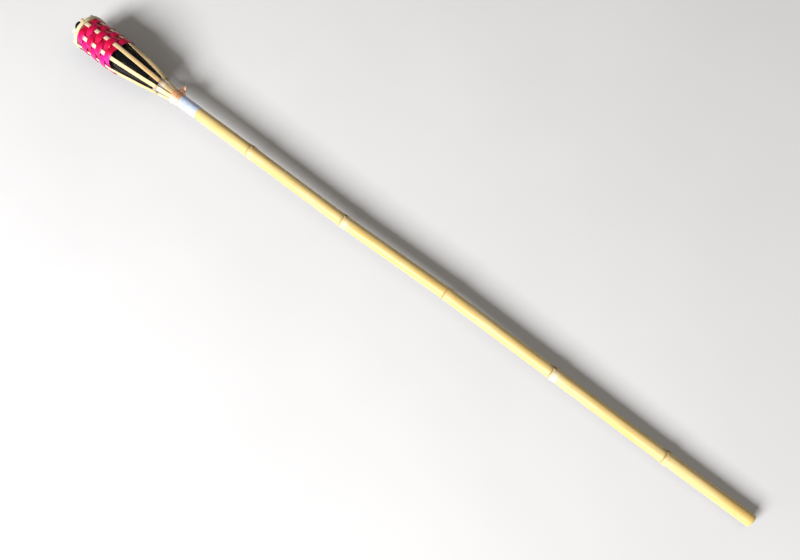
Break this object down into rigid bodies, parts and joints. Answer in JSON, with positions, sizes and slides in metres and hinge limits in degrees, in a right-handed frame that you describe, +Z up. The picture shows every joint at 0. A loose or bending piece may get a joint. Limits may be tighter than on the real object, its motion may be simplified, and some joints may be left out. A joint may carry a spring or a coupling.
{
  "type": "tiki torch",
  "caption": "Bamboo garden torch: a culm whose upper end is split and woven with dyed strips into a basket that holds a lift-out fuel can with screw-cap burner, wick and snuffer.",
  "frame": {"origin": "centre of the culm's cut lower end", "axes": "+Z runs up the culm towards the flame; -Y faces up when the torch lies down as in the picture"},
  "size_m": [0.0724, 0.0724, 1.522],
  "materials": {
    "bamboo_culm": "satin, natural skin of dried bamboo",
    "bamboo_slat": "satin, split bamboo",
    "dyed_strip": "glossy dyed bamboo strip",
    "rim_strip": "satin, natural bamboo strip",
    "tie_strip": "satin, natural bamboo strip",
    "label_film": "smooth film",
    "can_paint": "gloss",
    "cap_paint": "semi-gloss",
    "tube_brass": "satin",
    "gasket_rubber": "matte",
    "wick_braid": "braided glass fibre",
    "brad_steel": "plain"
  },
  "bodies": {
    "torch": {"pole": "bamboo_culm", "slat_1": "bamboo_slat", "slat_2": "bamboo_slat", "slat_3": "bamboo_slat", "slat_4": "bamboo_slat", "slat_5": "bamboo_slat", "slat_6": "bamboo_slat", "slat_7": "bamboo_slat", "slat_8": "bamboo_slat", "weft_1": "dyed_strip", "weft_2": "dyed_strip", "weft_3": "dyed_strip", "weft_4": "dyed_strip", "weft_5": "dyed_strip", "weft_6": "dyed_strip", "weft_7": "dyed_strip", "rim_band_outer": "rim_strip", "rim_band_inner": "rim_strip", "rim_brads": "brad_steel", "split_tie": "tie_strip", "label_band": "label_film"},
    "can": {"can_shell": "can_paint", "can_base": "can_paint", "can_top": "can_paint"},
    "seal": {"cap_gasket": "gasket_rubber"},
    "burner": {"burner_cap": "cap_paint", "wick_tube": "tube_brass"},
    "wick": {"wick": "wick_braid"},
    "snuffer": {"snuffer_cap": "cap_paint"}
  },
  "joints": [
    {"name": "can_lift", "type": "slide", "parent": "torch", "child": "can", "axis": [0, 0, 1], "range_m": [0, 0.19]},
    {"name": "cap_rise", "type": "slide", "parent": "can", "child": "seal", "axis": [0, 0, 1], "range_m": [0, 0.0076]},
    {"name": "cap_turn", "type": "hinge", "parent": "seal", "child": "burner", "pos_m": [0, 0, 1.503], "axis": [0, 0, 1], "range_deg": [0, 900]},
    {"name": "wick_raise", "type": "slide", "parent": "burner", "child": "wick", "axis": [0, 0, 1], "range_m": [-0.002, 0.005]},
    {"name": "snuffer_lift", "type": "slide", "parent": "burner", "child": "snuffer", "axis": [0, 0, 1], "range_m": [0, 0.03]}
  ],
  "couplings": [
    {"joint": "cap_rise", "follows": "cap_turn", "m_per_rad": 0.00047746}
  ]
}
